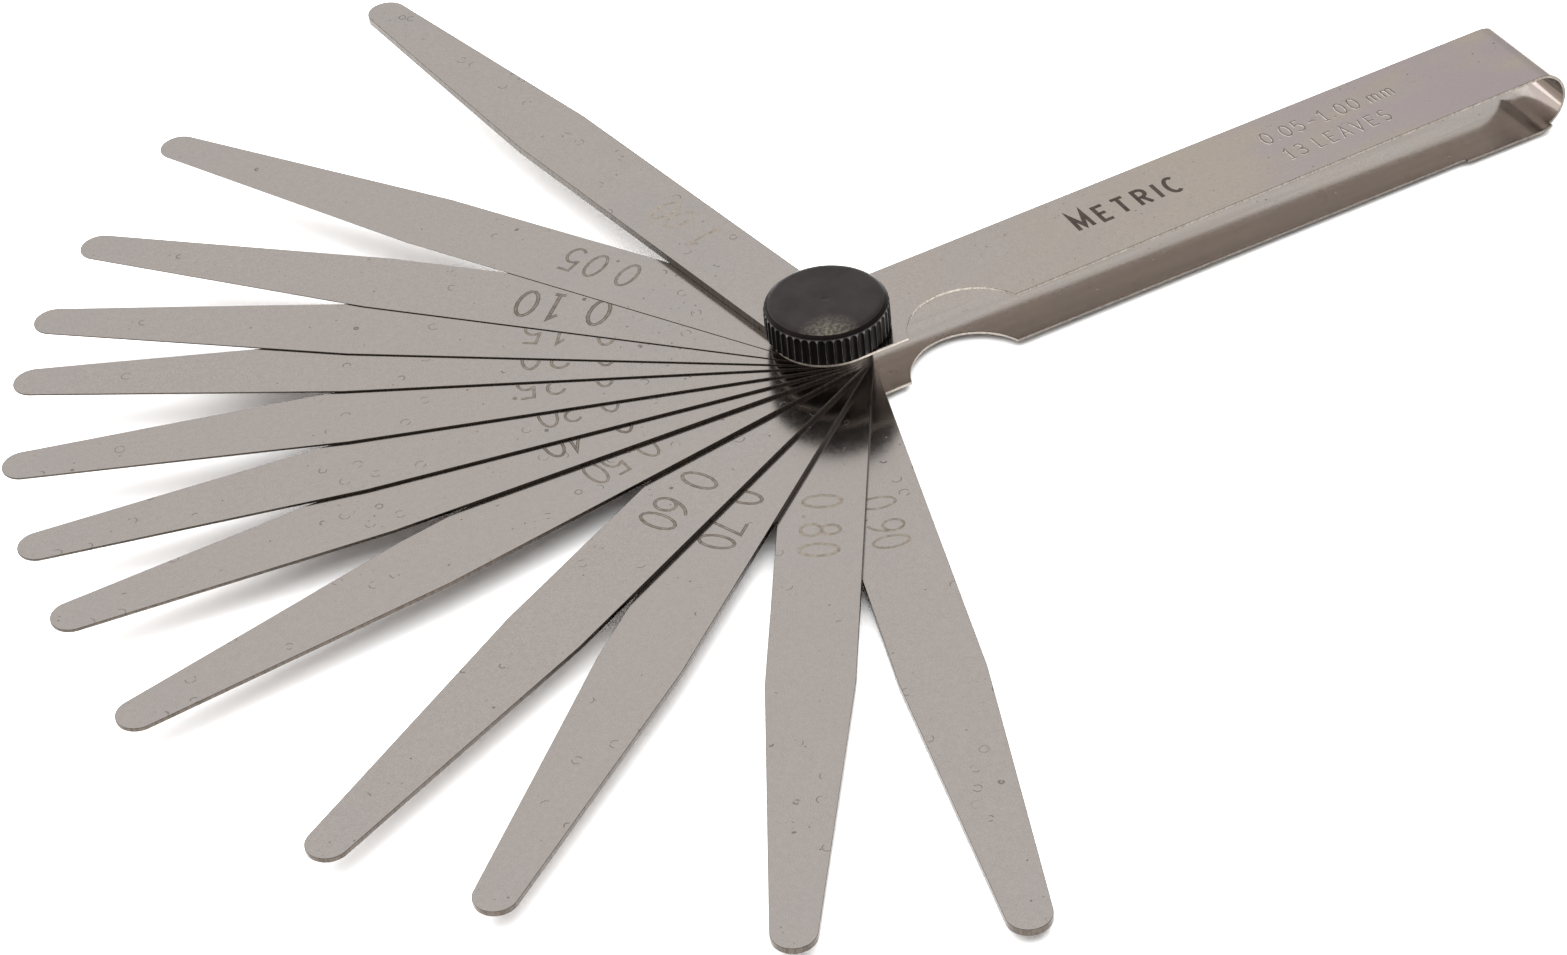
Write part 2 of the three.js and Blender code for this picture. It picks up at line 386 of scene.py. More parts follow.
def worn_steel(
    name, turn=0.0, tone=(0.455, 0.410, 0.376), gloss=0.18, temper=0.0, streaked=0.0, hairs=0.6,
):
    """Satin rolled steel: fine grain, faint tarnish, pits, crumbs and small curled hair marks.

    Temper is how far along X the heat colours reach, streaked how strongly it is brushed.
    """
    material, tree, shader = new_material(name)
    place = add(tree, "ShaderNodeTexCoord").outputs["Object"]
    turned_place = add(tree, "ShaderNodeMapping", {"Vector": place, "Rotation": (0, 0, -turn)})
    along = turned_place.outputs["Vector"]
    dirt = (0.10, 0.085, 0.075)

    tarnish = ramp(tree, noise(tree, along, (90, 160, 90), 3.0), 0.35, 0.65)
    mottle = noise(tree, along, 1500, 3.0)
    sand = noise(tree, along, 7000, 2.0)
    rolling = noise(tree, along, (420, 5200, 420), 3.0)
    worn = ramp(tree, noise(tree, along, 190, 3.0), 0.52, 0.68)
    pores = add(tree, "ShaderNodeTexVoronoi", {"Vector": along, "Scale": 760.0})
    pits = calculate(tree, "MULTIPLY", ramp(tree, pores.outputs["Distance"], 0.05, 0.14, 0.8, 0), worn)
    crumbs = add(tree, "ShaderNodeTexVoronoi", {"Vector": along, "Scale": 300.0})
    crumbs = ramp(tree, crumbs.outputs["Distance"], 0.020, 0.042, 0.8, 0)
    curls = add(tree, "ShaderNodeTexVoronoi", {"Vector": along, "Scale": 330.0})
    curl_line = calculate(tree, "SUBTRACT", curls.outputs["Distance"], 0.20)
    curl_line = ramp(tree, calculate(tree, "ABSOLUTE", curl_line, 0.0), 0.010, 0.026, 1, 0)
    chosen = ramp(tree, curls.outputs["Color"], 0.54, 0.58)
    broken = ramp(tree, noise(tree, along, 1000, 0.0), 0.51, 0.56)
    curl_line = calculate(tree, "MULTIPLY", curl_line, calculate(tree, "MULTIPLY", chosen, broken))
    marks = calculate(tree, "MAXIMUM", pits, crumbs)
    marks = calculate(tree, "MAXIMUM", marks, calculate(tree, "MULTIPLY", curl_line, hairs))

    cooler = (tone[0] * 0.97, tone[1] * 0.99, tone[2] * 1.03)
    steel = two_shades(tree, tarnish, tone, cooler)
    if temper:
        tints = ramp(tree, noise(tree, along, (60, 120, 60), 2.0), 0.40, 0.60)
        tinted = two_shades(
            tree, tints, (tone[0] * 0.88, tone[1] * 0.83, tone[2] * 0.94),
            (tone[0] * 0.98, tone[1] * 0.94, tone[2] * 0.82),
        )
        far_out = add(tree, "ShaderNodeSeparateXYZ", {"Vector": place}).outputs["X"]
        steel = two_shades(tree, ramp(tree, far_out, 0.1 * temper, temper), steel, tinted)
    if streaked:
        streaks = ramp(tree, noise(tree, along, (28, 900, 28), 3.0), 0.42, 0.62, 0.0, streaked)
        steel = two_shades(tree, streaks, steel, tuple(part * 0.80 for part in tone))
    grain = calculate(tree, "ADD", calculate(tree, "MULTIPLY", mottle, 0.25), calculate(
        tree, "MULTIPLY", sand, 0.75,
    ))
    darker = tuple(part * 0.76 for part in tone)
    steel = two_shades(tree, ramp(tree, grain, 0.34, 0.66, 0.75, -0.05), steel, darker)
    steel = two_shades(tree, marks, steel, dirt)
    tree.links.new(steel, shader.inputs["Base Color"])
    shader.inputs["Metallic"].default_value = 1.0

    dull = ramp(tree, mottle, 0.3, 0.7, gloss - 0.02, gloss + 0.02)
    dull = calculate(tree, "ADD", dull, calculate(tree, "MULTIPLY", marks, 0.4))
    tree.links.new(dull, shader.inputs["Roughness"])

    relief = add(tree, "ShaderNodeBump", {
        "Height": rolling, "Strength": 0.06, "Distance": 0.01 * MM,
    })
    relief = add(tree, "ShaderNodeBump", {
        "Height": sand, "Strength": 0.20, "Distance": 0.01 * MM,
        "Normal": relief.outputs["Normal"],
    })
    relief = add(tree, "ShaderNodeBump", {
        "Height": marks, "Strength": 0.5, "Distance": 0.02 * MM,
        "Normal": relief.outputs["Normal"],
    }, invert=True)
    tree.links.new(relief.outputs["Normal"], shader.inputs["Normal"])
    return material


def cut_edge(name, tint=(0.115, 0.097, 0.083), rough=0.3):
    """A sheared edge of the steel: duller, with fine tearing across its thickness; its dark default
    tint is partly painted shade.
    """
    material, tree, shader = new_material(name)
    place = add(tree, "ShaderNodeTexCoord").outputs["Object"]
    tears = noise(tree, place, (3600, 3600, 500), 3.0)
    darker = tuple(part * 0.62 for part in tint)
    tree.links.new(
        two_shades(tree, ramp(tree, tears, 0.35, 0.65), darker, tint), shader.inputs["Base Color"],
    )
    shader.inputs["Metallic"].default_value = 1.0
    shader.inputs["Roughness"].default_value = rough
    relief = add(tree, "ShaderNodeBump", {
        "Height": tears, "Strength": 0.3, "Distance": 0.02 * MM,
    })
    tree.links.new(relief.outputs["Normal"], shader.inputs["Normal"])
    return material


# The strip's finishes: satin outside, a pale edge by the pivot and notch that is a painted highlight,
# a face under the upper arm darkened as painted shade, a dull edge elsewhere, and a brushed face
# inside the lower arm.
highlit, shaded, dull_edge, brushed = 1, 2, 3, 4
bm = flat_strip()
blank(bm, sheet, sheet_softness)
for face in bm.faces:
    x = face.calc_center_median().x
    from_pivot = (upper_arm.length if x > 0 else lower_arm.length) - abs(x)
    inner_side = face.normal.z < -0.99
    if from_pivot < highlight_reach and abs(face.normal.z) < 0.3:
        face.material_index = highlit
    elif inner_side and x > upper_arm.curve:
        face.material_index = shaded
    elif inner_side and x < -lower_arm.curve:
        face.material_index = brushed
    elif from_pivot >= highlight_reach and abs(face.normal.z) < 0.98:
        face.material_index = dull_edge
bends = [upper_arm.curve * step / fold_steps for step in range(fold_steps + 1)]
bends += [-lower_arm.curve * step / fold_steps for step in range(1, fold_steps + 1)]
bends += [upper_arm.length - clamped_length, clamped_length - lower_arm.length]
slice_across(bm, bends)
fold(bm.verts)
bmesh.ops.recalc_face_normals(bm, faces=bm.faces[:])
strip_face = worn_steel(
    "strip_face", tone=(0.460, 0.410, 0.370), gloss=0.13, temper=temper_reach, hairs=0.15,
)
strip_brushed = worn_steel(
    "strip_brushed", tone=(0.480, 0.430, 0.388), gloss=0.10, streaked=0.6, hairs=0.15,
)
# Painted highlight: the edge by the pivot and notch gets a pale, rough tint so that it reads bright.
burnished_edge = cut_edge("burnished_edge", tint=(0.60, 0.54, 0.475), rough=0.6)
strip_edge = cut_edge("strip_edge", tint=(0.27, 0.24, 0.21), rough=0.45)
# Painted shade: the face under the upper arm gets a far darker tone than the steel, for the shade
# under the arm.
strip_inside = worn_steel("strip_inside", tone=(0.18, 0.155, 0.138))
strip = piece("strip", bm, strip_face, burnished_edge, strip_inside, strip_edge, strip_brushed)
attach(strip, "holder")
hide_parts("holder_strip")

# ---------------------------------------------------------------------------------------------
# Blades: hardened steel leaves, each ground to its marked thickness, blanked to one outline
# with a round pivot end and a tapered tip, and strung on the bush's sleeve.
blade_width = 10.14 * MM
taper_start = 58.6 * MM
tip_radius = 2.6 * MM
tip_clearance = 0.01 * MM
blade_hole = 3.08 * MM
blade_softness = 0.05 * MM
softness_share = 0.3


def blade_facts(node):
    """Thickness, level, reach and swing of a blade, read off its solid in the frame."""
    low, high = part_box(node)
    far = max(frame["nodes"][node].data.vertices, key=lambda v: math.hypot(v.co.x, v.co.y)).co
    joint = next(j for j in frame["record"]["behaviour"]["joints"] if j["child"] == node)
    swing = -math.radians(joint["range_deg"][0])
    return high[2] - low[2], low[2], math.hypot(far.x, far.y), swing


def make_blade(node):
    """One leaf, blanked, bevelled and swung to where its solid stands in the frame."""
    thickness, level, reach, swing = blade_facts(node)
    half = blade_width / 2
    tip_x = reach - tip_radius - tip_clearance
    lean = touch((taper_start, half), (tip_x, 0), tip_radius, 1)
    bm = bmesh.new()
    pen(bm, (0, half), [
        ("turn", 0, 0, math.pi),
        ("to", taper_start, -half),
        ("to", tip_x + tip_radius * math.cos(lean), -tip_radius * math.sin(lean)),
        ("turn", tip_x, 0, 2 * lean),
        ("to", taper_start, half),
    ])
    close_outline(bm)
    ring(bm, 0, 0, blade_hole)
    blank(bm, thickness, min(blade_softness, thickness * softness_share))
    for face in bm.faces:
        face.material_index = 1 if abs(face.normal.z) < 0.98 else 0
    seat = Matrix.Translation((0, 0, level + thickness / 2)) @ Matrix.Rotation(swing, 4, "Z")
    bmesh.ops.transform(bm, matrix=seat, verts=bm.verts[:])
    face_steel = worn_steel(f"{node}_face", turn=swing)
    # The leaves' edges are dark sheared steel, and partly painted shade for the contact lines between
    # the leaves.
    edge_steel_and_shade = cut_edge(f"{node}_edge")
    blade = piece(f"{node}_leaf", bm, face_steel, edge_steel_and_shade)
    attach(blade, node)
    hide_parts(node)


blade_nodes = sorted(name for name in frame["nodes"] if name.startswith("blade_"))
for node in blade_nodes:
    make_blade(node)


# ---------------------------------------------------------------------------------------------
# Size marks: each blade's thickness etched near the pivot in thin single strokes, and the
# holder's own marks. A stroke is a flattened rod that follows the letter's centre line.
def arc(x, y, wide, tall, start, end, steps=14):
    """Points along part of an oval, between two angles in degrees."""
    points = []
    for step in range(steps + 1):
        angle = math.radians(start + (end - start) * step / steps)
        points.append((x + wide * math.cos(angle), y + tall * math.sin(angle)))
    return points


six = [arc(0.25, 0.29, 0.23, 0.29, 0, 360), arc(0.50, 0.30, 0.48, 0.70, 180, 105)]
letters = {
    "0": [arc(0.25, 0.5, 0.24, 0.5, 0, 360)],
    "1": [[(0.10, 0.80), (0.28, 1.0), (0.28, 0.0)], [(0.14, 0.0), (0.42, 0.0)]],
    "2": [arc(0.25, 0.74, 0.23, 0.26, 165, -35) + [(0.02, 0.0), (0.49, 0.0)]],
    "3": [arc(0.24, 0.76, 0.21, 0.24, 150, -90) + arc(0.24, 0.26, 0.24, 0.26, 90, -150)],
    "4": [[(0.36, 0.0), (0.36, 1.0), (0.0, 0.30), (0.50, 0.30)]],
    "5": [[(0.44, 1.0), (0.08, 1.0), (0.05, 0.56)] + arc(0.24, 0.32, 0.24, 0.32, 130, -140)],
    "6": six,
    "7": [[(0.02, 1.0), (0.48, 1.0), (0.16, 0.0)]],
    "8": [arc(0.25, 0.76, 0.19, 0.24, 0, 360), arc(0.25, 0.26, 0.24, 0.26, 0, 360)],
    "9": [[(0.5 - x, 1 - y) for x, y in stroke] for stroke in six],
    ".": [[(0.0, 0.05), (0.09, 0.05)]],
    "-": [[(0.06, 0.45), (0.44, 0.45)]],
    "A": [[(0.0, 0.0), (0.27, 1.0), (0.54, 0.0)], [(0.10, 0.34), (0.44, 0.34)]],
    "C": [arc(0.30, 0.5, 0.28, 0.5, 55, 305)],
    "E": [[(0.46, 1.0), (0.04, 1.0), (0.04, 0.0), (0.46, 0.0)], [(0.04, 0.52), (0.38, 0.52)]],
    "I": [[(0.06, 0.0), (0.06, 1.0)]],
    "L": [[(0.04, 1.0), (0.04, 0.0), (0.42, 0.0)]],
    "M": [[(0.0, 0.0), (0.04, 1.0), (0.32, 0.2), (0.60, 1.0), (0.64, 0.0)]],
    "R": [[(0.04, 0.0), (0.04, 1.0)] + arc(0.24, 0.75, 0.24, 0.25, 90, -90) + [(0.04, 0.5)],
          [(0.24, 0.5), (0.48, 0.0)]],
    "S": [arc(0.25, 0.76, 0.21, 0.24, 40, 270) + arc(0.25, 0.26, 0.23, 0.26, 90, -140)],
    "T": [[(0.0, 1.0), (0.52, 1.0)], [(0.26, 1.0), (0.26, 0.0)]],
    "V": [[(0.0, 1.0), (0.26, 0.0), (0.52, 1.0)]],
    "m": [[(0.0, 0.0), (0.0, 0.62)], arc(0.14, 0.46, 0.14, 0.16, 180, 0, 6) + [(0.28, 0.0)],
          arc(0.42, 0.46, 0.14, 0.16, 180, 0, 6) + [(0.56, 0.0)]],
}


def write(places, tall, stroke):
    """A flat mesh of strokes: places pairs each letter with the x of its left side."""
    flatness = 0.02
    curve = bpy.data.curves.new("strokes", "CURVE")
    curve.dimensions = "2D"
    curve.bevel_depth = stroke / 2
    curve.bevel_resolution = 1
    curve.use_fill_caps = True
    for letter, left in places:
        for line in letters[letter]:
            closed = math.dist(line[0], line[-1]) < 1e-6
            line = line[:-1] if closed else line
            spline = curve.splines.new("POLY")
            spline.points.add(len(line) - 1)
            spline.use_cyclic_u = closed
            for point, (x, y) in zip(spline.points, line):
                point.co = (left + x * tall, (y - 0.5) * tall, 0, 1)
    rods = bpy.data.objects.new("strokes", curve)
    bm = bmesh.new()
    bm.from_mesh(rods.to_mesh())
    rods.to_mesh_clear()
    bpy.data.objects.remove(rods)
    bpy.data.curves.remove(curve)
    bmesh.ops.scale(bm, vec=(1, 1, flatness), verts=bm.verts[:])
    return bm


def stain(name, tint, rough=0.3, metal=1.0, shine=0.5):
    """Etched or printed line: darker where the acid or ink took, uneven along its length."""
    material, tree, shader = new_material(name)
    place = add(tree, "ShaderNodeTexCoord").outputs["Object"]
    uneven = add(tree, "ShaderNodeTexNoise", {"Vector": place, "Scale": 1500.0, "Detail": 2.0})
    shades = add(tree, "ShaderNodeValToRGB", {"Fac": uneven.outputs["Fac"]})
    shades.color_ramp.elements[0].position = 0.3
    shades.color_ramp.elements[0].color = (*[part * 0.75 for part in tint], 1)
    shades.color_ramp.elements[1].position = 0.7
    shades.color_ramp.elements[1].color = (*[part * 1.25 for part in tint], 1)
    tree.links.new(shades.outputs["Color"], shader.inputs["Base Color"])
    shader.inputs["Metallic"].default_value = metal
    shader.inputs["Roughness"].default_value = rough
    shader.inputs["Specular IOR Level"].default_value = shine
    return material


# Where each blade's characters stand: the middles of the first, second and third digit along
# the blade, the middle of the line across it, their height, the stroke and how dark it took.
blade_marks = {
    "blade_0_90": ((27.1, 31.5, 34.4), -0.4, 4.3, 0.34, 0.66),
    "blade_0_80": ((26.7, 31.9, 35.5), 0.0, 4.6, 0.42, 0.76),
    "blade_0_70": ((27.9, 33.4, 36.3), 0.1, 4.4, 0.42, 0.40),
    "blade_0_60": ((27.8, 33.3, 36.2), 0.0, 4.7, 0.42, 0.42),
    "blade_0_50": ((27.5, 32.1, 34.8), 0.1, 4.3, 0.36, 0.49),
    "blade_0_40": ((27.8, 33.9, 36.5), 0.2, 4.5, 0.40, 0.32),
    "blade_0_30": ((27.8, 32.5, 35.3), 0.0, 4.5, 0.36, 0.42),
    "blade_0_25": ((27.4, 33.3, 36.8), -0.3, 4.5, 0.40, 0.49),
    "blade_0_20": ((26.9, 32.5, 36.1), 0.3, 4.6, 0.42, 0.46),
    "blade_0_15": ((27.2, 33.0, 36.5), -0.2, 4.6, 0.40, 0.54),
    "blade_0_10": ((29.3, 35.0, 38.7), 0.5, 5.0, 0.52, 0.38),
    "blade_0_05": ((29.3, 34.0, 37.4), -0.7, 4.5, 0.40, 0.44),
    "blade_1_00": ((26.3, 31.4, 34.2), -0.5, 4.3, 0.40, 0.88),
}
point_gap = 2.5
half_digit = 0.25
mark_lift = 0.003 * MM
# Painted highlight: a narrower, lighter stroke just above the middle of each etched line.
highlight_lift = 0.004 * MM
highlight_share = 0.42
for node in blade_nodes:
    middles, across, tall, stroke, dark = blade_marks[node]
    thickness, level, _, swing = blade_facts(node)
    digits = node.replace("blade_", "").replace("_", "")
    half_letter = half_digit * tall
    places = [(digit, (middle - half_letter) * MM) for digit, middle in zip(digits, middles)]
    places.append((".", (middles[0] + point_gap) * MM))
    bm = write(places, tall * MM, stroke * MM)
    seat = Matrix.Translation((0, 0, level + thickness + mark_lift))
    turn = Matrix.Rotation(swing, 4, "Z") @ Matrix.Translation((0, across * MM, 0))
    bmesh.ops.transform(bm, matrix=seat @ turn, verts=bm.verts[:])
    tint = (0.455 * dark, 0.385 * dark, 0.310 * dark)
    mark = piece(f"{node}_mark", bm, stain(f"{node}_etch", tint))
    bm = write(places, tall * MM, stroke * highlight_share * MM)
    seat = Matrix.Translation((0, 0, level + thickness + mark_lift + highlight_lift))
    bmesh.ops.transform(bm, matrix=seat @ turn, verts=bm.verts[:])
    highlight_level = 0.35 + 0.60 * dark
    tint = (0.455 * highlight_level, 0.400 * highlight_level, 0.350 * highlight_level)
    bottom = piece(f"{node}_mark_highlight", bm, stain(f"{node}_etch_highlight", tint))
    for stroked in (mark, bottom):
        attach(stroked, node)


def spaced(text, tall, gap):
    """Pairs each letter with its left side, each letter as wide as its own strokes."""
    word_gap = 0.35
    left = 0
    places = []
    for letter in text:
        if letter == " ":
            left += word_gap * tall
            continue
        places.append((letter, left))
        widest = max(x for line in letters[letter] for x, y in line)
        left += (widest + gap) * tall
    return places


def holder_mark(name, text, left, middle, tall, stroke, gap, ink):
    """A line of text on top of the upper arm; left and middle are measured from the pivot."""
    bm = write(spaced(text, tall, gap), tall, stroke)
    for vert in bm.verts:
        along = upper_arm.length - left - vert.co.x
        vert.co = (along, middle + vert.co.y, sheet / 2 + mark_lift + vert.co.z)
    fold(bm.verts)
    bmesh.ops.recalc_face_normals(bm, faces=bm.faces[:])
    mark = piece(name, bm, ink)
    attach(mark, "holder")


# The stamped text has no depth: a dark stroke is painted shade in its groove, and a pale stroke set
# beside it is a painted highlight on its lip.
stamped = stain("stamped_groove", (0.20, 0.175, 0.155))
lip_highlight = stain("stamped_lip", (0.74, 0.68, 0.61))
printed = stain("black_ink", (0.026, 0.019, 0.016), rough=0.5, metal=0.0, shine=0.15)
highlight_offset = 0.13 * MM
groove_stroke = 0.22 * MM
highlight_stroke = 0.14 * MM
ink_stroke = 0.56 * MM
for stamp, text, left, middle, tall, gap in (
    ("range", "0.05-1.00 mm", 63.5 * MM, 2.6 * MM, 2.4 * MM, 0.30),
    ("count", "13 LEAVES", 64.0 * MM, -1.8 * MM, 2.3 * MM, 0.36),
):
    holder_mark(f"{stamp}_mark", text, left, middle, tall, groove_stroke, gap, stamped)
    left -= highlight_offset
    middle -= highlight_offset
    holder_mark(f"{stamp}_lip", text, left, middle, tall, highlight_stroke, gap, lip_highlight)
holder_mark("unit_mark", "METRIC", 35.2 * MM, 1.1 * MM, 3.1 * MM, ink_stroke, 0.42, printed)

# ---------------------------------------------------------------------------------------------
# Base bush: a nickel-plated turning. Its low flat head closes the underside, and its threaded
# sleeve stands up through the lower arm and all the blades.
head_radius = 5.5 * MM
head_round = 0.30 * MM
head_round_middle = 0.09 * MM
head_edge = 0.08 * MM
sleeve_radius = 3.0 * MM
sleeve_chamfer = 0.15 * MM
bore_radius = 2.0 * MM
bore_floor = 1.3 * MM
bush_low, bush_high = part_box("base_bush")


def turned(bm, profile, steps=96):
    """Spins a profile of (radius, height) points about the Z axis into a closed solid."""
    verts = [bmesh.ops.create_vert(bm, co=(radius, 0, z))["vert"][0] for radius, z in profile]
    edges = [bm.edges.new(pair) for pair in zip(verts, verts[1:])]
    bmesh.ops.spin(
        bm, geom=verts + edges, cent=(0, 0, 0), axis=(0, 0, 1), dvec=(0, 0, 0),
        angle=math.tau, steps=steps, use_merge=True, use_duplicate=False,
    )
    bmesh.ops.remove_doubles(bm, verts=bm.verts[:], dist=1e-7)
    bmesh.ops.recalc_face_normals(bm, faces=bm.faces[:])


def off_axis(tree, place):
    """How far a place is from the Z axis, and its height."""
    split = add(tree, "ShaderNodeSeparateXYZ", {"Vector": place})
    flat = add(tree, "ShaderNodeCombineXYZ", {"X": split.outputs["X"], "Y": split.outputs["Y"]})
    radius = add(tree, "ShaderNodeVectorMath", {0: flat.outputs["Vector"]}, operation="LENGTH")
    return radius.outputs["Value"], split.outputs["Z"]


def turned_steel(name, tint, rough=0.22):
    """Turned and plated steel: fine rings about the axis, a little clouding."""
    material, tree, shader = new_material(name)
    place = add(tree, "ShaderNodeTexCoord").outputs["Object"]
    radius, _ = off_axis(tree, place)
    rings = add(tree, "ShaderNodeTexNoise", {
        "W": radius, "Scale": 9000.0, "Detail": 2.0,
    }, noise_dimensions="1D")
    clouds = add(tree, "ShaderNodeTexNoise", {"Vector": place, "Scale": 500.0, "Detail": 3.0})
    shades = add(tree, "ShaderNodeValToRGB", {"Fac": clouds.outputs["Fac"]})
    shades.color_ramp.elements[0].position = 0.35
    shades.color_ramp.elements[0].color = (*[part * 0.88 for part in tint], 1)
    shades.color_ramp.elements[1].position = 0.65
    shades.color_ramp.elements[1].color = (*tint, 1)
    tree.links.new(shades.outputs["Color"], shader.inputs["Base Color"])
    shader.inputs["Metallic"].default_value = 1.0
    shader.inputs["Roughness"].default_value = rough
    relief = add(tree, "ShaderNodeBump", {
        "Height": rings.outputs["Fac"], "Strength": 0.25, "Distance": 0.01 * MM,
    })
    tree.links.new(relief.outputs["Normal"], shader.inputs["Normal"])
    return material


base = bush_low[2]
rim = bush_high[2]
bm = bmesh.new()
turned(bm, [
    (0, base),
    (head_radius - head_round, base),
    (head_radius - head_round_middle, base + head_round_middle),
    (head_radius, base + head_round),
    (head_radius, base + bush_head_height - head_edge),
    (head_radius - head_edge, base + bush_head_height),
    (sleeve_radius, base + bush_head_height),
    (sleeve_radius, rim - sleeve_chamfer),
    (sleeve_radius - sleeve_chamfer, rim),
    (bore_radius + sleeve_chamfer, rim),
    (bore_radius, rim - sleeve_chamfer),
    (bore_radius, base + bore_floor),
    (0, base + bore_floor),
])
bush = piece("bush", bm, turned_steel("bush_nickel", (0.66, 0.64, 0.60)), smooth_angle=35)
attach(bush, "holder")
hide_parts("base_bush")

# ---------------------------------------------------------------------------------------------
# Clamp screw: a machined steel screw. Its round head is moulded into the knob and its fine
# thread runs down into the bush's sleeve.
screw_low, screw_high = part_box("clamp_screw")
thread_crest = 1.93 * MM
thread_root = 1.60 * MM
thread_pitch = 0.7 * MM
thread_sunk = 0.05 * MM
thread_gap = 0.02 * MM
point_chamfer = 0.3 * MM
screw_head_radius = 3.4 * MM
screw_head_height = 1.4 * MM
screw_head_edge = 0.1 * MM
point = screw_low[2]
head_top = screw_high[2]
head_under = head_top - screw_head_height
thread_top = head_under - 0.05 * MM
thread_start = point + 0.35 * MM

bm = bmesh.new()
turned(bm, [
    (0, point),
    (thread_root - point_chamfer, point),
    (thread_root, point + point_chamfer),
    (thread_root, head_under),
    (screw_head_radius - screw_head_edge, head_under),
    (screw_head_radius, head_under + screw_head_edge),
    (screw_head_radius, head_top - screw_head_edge),
    (screw_head_radius - screw_head_edge, head_top),
    (0, head_top),
])
# The thread is a ridge of its own, sunk a little into the shank and wound up it.
steps_a_turn = 48
turns = (thread_top - thread_start - thread_pitch) / thread_pitch
flank = [
    bmesh.ops.create_vert(bm, co=(x, 0, thread_start + z))["vert"][0]
    for x, z in (
        (thread_root - thread_sunk, thread_gap),
        (thread_crest, thread_pitch * 0.44),
        (thread_crest, thread_pitch * 0.56),
        (thread_root - thread_sunk, thread_pitch - thread_gap),
    )
]
ridge = [bm.faces.new(flank)]
bmesh.ops.spin(
    bm, geom=ridge, cent=(0, 0, 0), axis=(0, 0, 1), dvec=(0, 0, thread_pitch / steps_a_turn),
    angle=math.tau * turns, steps=round(steps_a_turn * turns), use_merge=False,
    use_duplicate=False,
)
bmesh.ops.recalc_face_normals(bm, faces=bm.faces[:])
screw = piece("screw", bm, turned_steel("screw_steel", (0.52, 0.50, 0.47), 0.3), smooth_angle=35)
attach(screw, "screw")
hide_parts("clamp_screw")

# ---------------------------------------------------------------------------------------------
# Clamp knob: black moulded plastic, flat on top with a rounded rim. Hollow flutes run up the
# side and break out through the rounding in small arches.
knob_low, knob_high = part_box("clamp_knob")
knob_radius = 7.6 * MM
knob_round = 1.25 * MM
knob_foot = 0.60 * MM
foot_steps = 4
round_steps = 18
flat_margin = 0.15 * MM
dimple_radius = 0.5 * MM
dimple_slope = 0.15 * MM
dimple_depth = 0.06 * MM
dimple_margin = 0.12 * MM
flutes = 48
steps_a_flute = 16
flute_depth = 0.32 * MM
crest_share = 0.07
arch_height = 0.62 * MM
pocket_floor = 1.15 * MM
pocket_height = 1.5 * MM
pocket_radius = 3.45 * MM
shank_hole = 1.95 * MM

bottom = knob_low[2]
top = knob_high[2]
profile = [
    (0, bottom + pocket_floor + pocket_height),
    (pocket_radius, bottom + pocket_floor + pocket_height),
    (pocket_radius, bottom + pocket_floor),
    (shank_hole, bottom + pocket_floor),
    (shank_hole, bottom),
    (knob_radius - knob_foot, bottom),
]
for step in range(foot_steps + 1):
    angle = math.radians(-90 + 90 * step / foot_steps)
    profile.append((
        knob_radius - knob_foot + knob_foot * math.cos(angle),
        bottom + knob_foot + knob_foot * math.sin(angle),
    ))
for step in range(round_steps + 1):
    angle = math.radians(90 * step / round_steps)
    profile.append((
        knob_radius - knob_round + knob_round * math.cos(angle),
        top - knob_round + knob_round * math.sin(angle),
    ))
profile += [
    (knob_radius - knob_round - flat_margin, top),
    (dimple_radius + dimple_margin, top),
    (dimple_radius, top),
    (dimple_radius - dimple_slope, top - dimple_depth),
    (0, top - dimple_depth),
]
bm = bmesh.new()
turned(bm, profile, steps=flutes * steps_a_flute)
# Every point outside the flutes' wall is pulled in to it.
for vert in bm.verts:
    radius = math.hypot(vert.co.x, vert.co.y)
    phase = (math.atan2(vert.co.y, vert.co.x) / math.tau * flutes) % 1
    above = max(0, vert.co.z - (top - knob_round)) / arch_height
    across_flute = min(1, math.hypot(2 * phase - 1, above) / (1 - crest_share))
    limit = knob_radius - flute_depth * math.sqrt(1 - across_flute ** 2)
    if radius > limit:
        vert.co.x *= limit / radius
        vert.co.y *= limit / radius


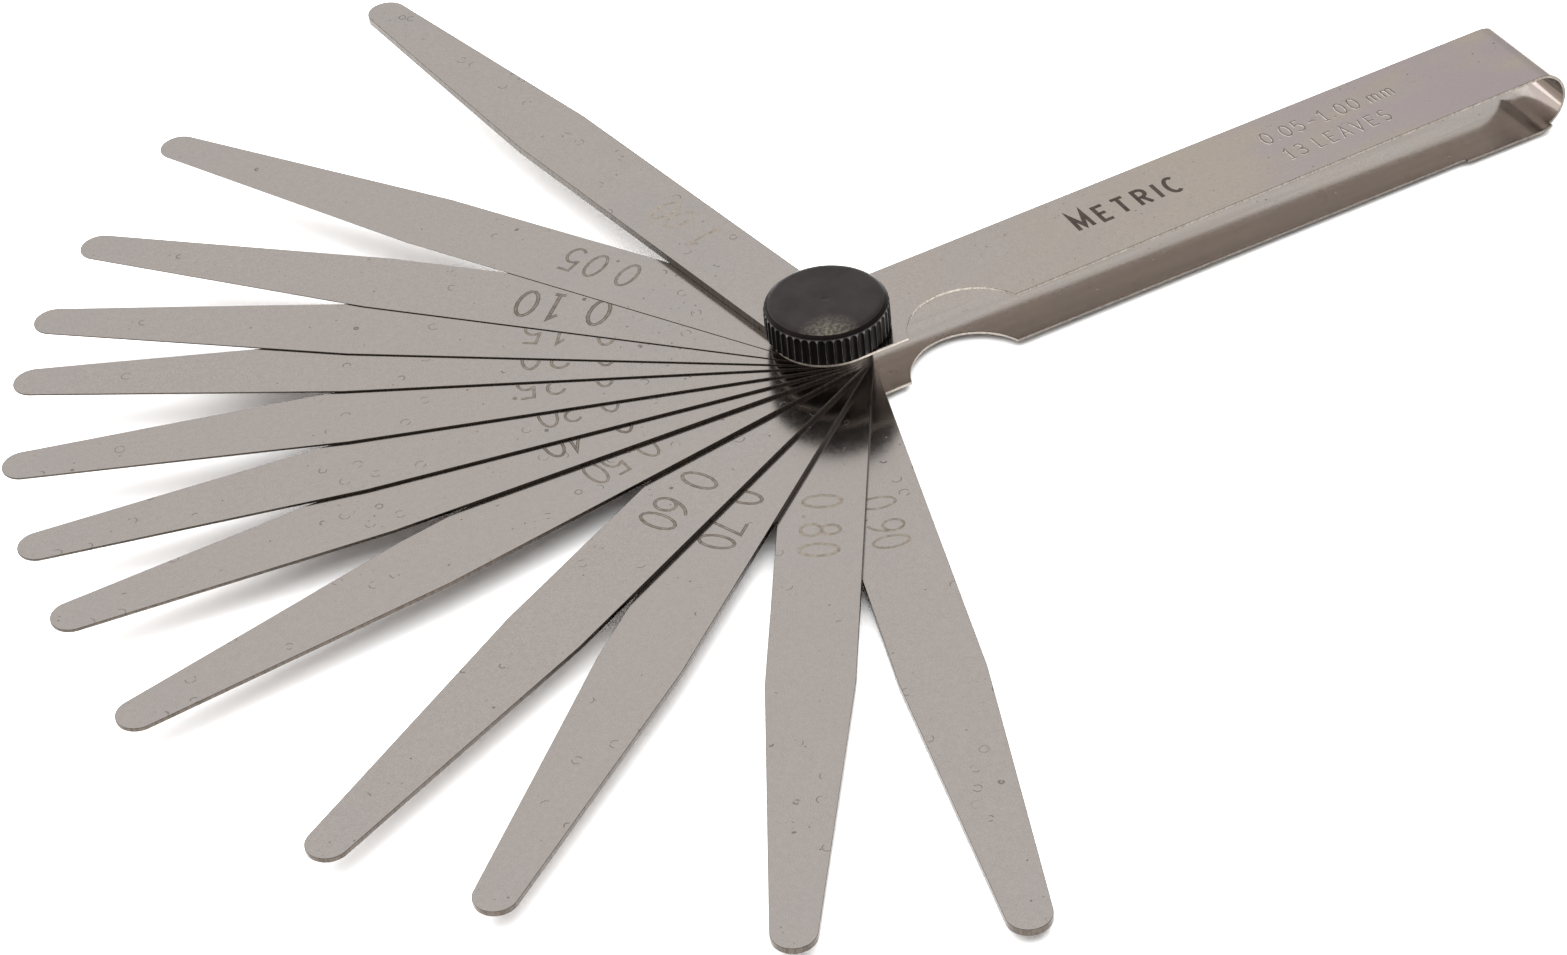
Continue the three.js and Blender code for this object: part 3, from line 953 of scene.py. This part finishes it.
def moulded_black(name, specular, crest=None, rubbed_highlight_spot=None):
    """Black plastic, sandy and pale where the palm rubs, grey on the crests: wear and painted
    highlight.
    """
    deep_black = (0.0030, 0.0020, 0.0021)
    soft_black = (0.0062, 0.0044, 0.0042)
    palm_wear_and_highlight = (0.075, 0.069, 0.050)
    crest_wear_and_highlight = (0.130, 0.127, 0.124)
    material, tree, shader = new_material(name)
    place = add(tree, "ShaderNodeTexCoord").outputs["Object"]
    sand = noise(tree, place, 5200, 2.0)
    clouds = noise(tree, place, 420, 4.0)
    flecks = ramp(tree, noise(tree, place, 2400, 3.0), 0.42, 0.62)
    black = two_shades(
        tree, ramp(tree, clouds, 0.35, 0.7), deep_black, soft_black,
    )
    # Wear and painted highlight: a pale mottled patch round the palm spot.
    if rubbed_highlight_spot:
        away = add(tree, "ShaderNodeVectorMath", {0: place, 1: rubbed_highlight_spot}, operation="DISTANCE")
        wear_and_highlight = ramp(tree, away.outputs["Value"], 0.6 * MM, 4.0 * MM, 1.0, 0.0)
        wear_and_highlight = calculate(tree, "MULTIPLY", wear_and_highlight, ramp(tree, flecks, 0.0, 1.0, 0.22, 0.95))
        black = two_shades(tree, wear_and_highlight, black, palm_wear_and_highlight)
    # Wear and painted highlight: the flute crests and their arches are greyed.
    if crest:
        radius, height = off_axis(tree, place)
        rise = ramp(tree, height, top - knob_round, top)
        fall = calculate(tree, "SUBTRACT", 1.0, calculate(tree, "MULTIPLY", rise, rise))
        fall = calculate(tree, "SUBTRACT", 1.0, calculate(tree, "SQRT", fall, 0.0))
        shoulder = calculate(tree, "MULTIPLY", fall, knob_round)
        below_crest = calculate(tree, "ADD", radius, shoulder)
        wear_and_highlight = ramp(tree, below_crest, crest - 0.08 * MM, crest - 0.02 * MM)
        wear_and_highlight = calculate(tree, "MULTIPLY", wear_and_highlight, ramp(tree, rise, 0.34, 0.50, 1.0, 0.0))
        wear_and_highlight = calculate(tree, "MULTIPLY", wear_and_highlight, ramp(tree, clouds, 0.35, 0.6, 0.30, 1.0))
        black = two_shades(tree, wear_and_highlight, black, crest_wear_and_highlight)
    tree.links.new(black, shader.inputs["Base Color"])
    tree.links.new(ramp(tree, clouds, 0.35, 0.65, 0.42, 0.26), shader.inputs["Roughness"])
    shader.inputs["IOR"].default_value = 1.42
    shader.inputs["Specular IOR Level"].default_value = specular
    shader.inputs["Specular Tint"].default_value = (1.0, 0.86, 0.86, 1)
    relief = add(tree, "ShaderNodeBump", {
        "Height": sand, "Strength": 0.3, "Distance": 0.03 * MM,
    })
    tree.links.new(relief.outputs["Normal"], shader.inputs["Normal"])
    return material


# The palm spot on the front of the rim centres the pale patch, which is wear and painted highlight.
palm_highlight_spot = (-2.9 * MM, -6.3 * MM, top - 0.3 * MM)
side_ends = top - knob_round * 0.2
for face in bm.faces:
    face.material_index = 1 if face.calc_center_median().z < side_ends else 0
knob_top = moulded_black("knob_top", 0.45, rubbed_highlight_spot=palm_highlight_spot)
knob_side = moulded_black("knob_side", 0.10, crest=knob_radius)
knob = piece("knob", bm, knob_top, knob_side, smooth_angle=40)
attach(knob, "knob")
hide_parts("clamp_knob")
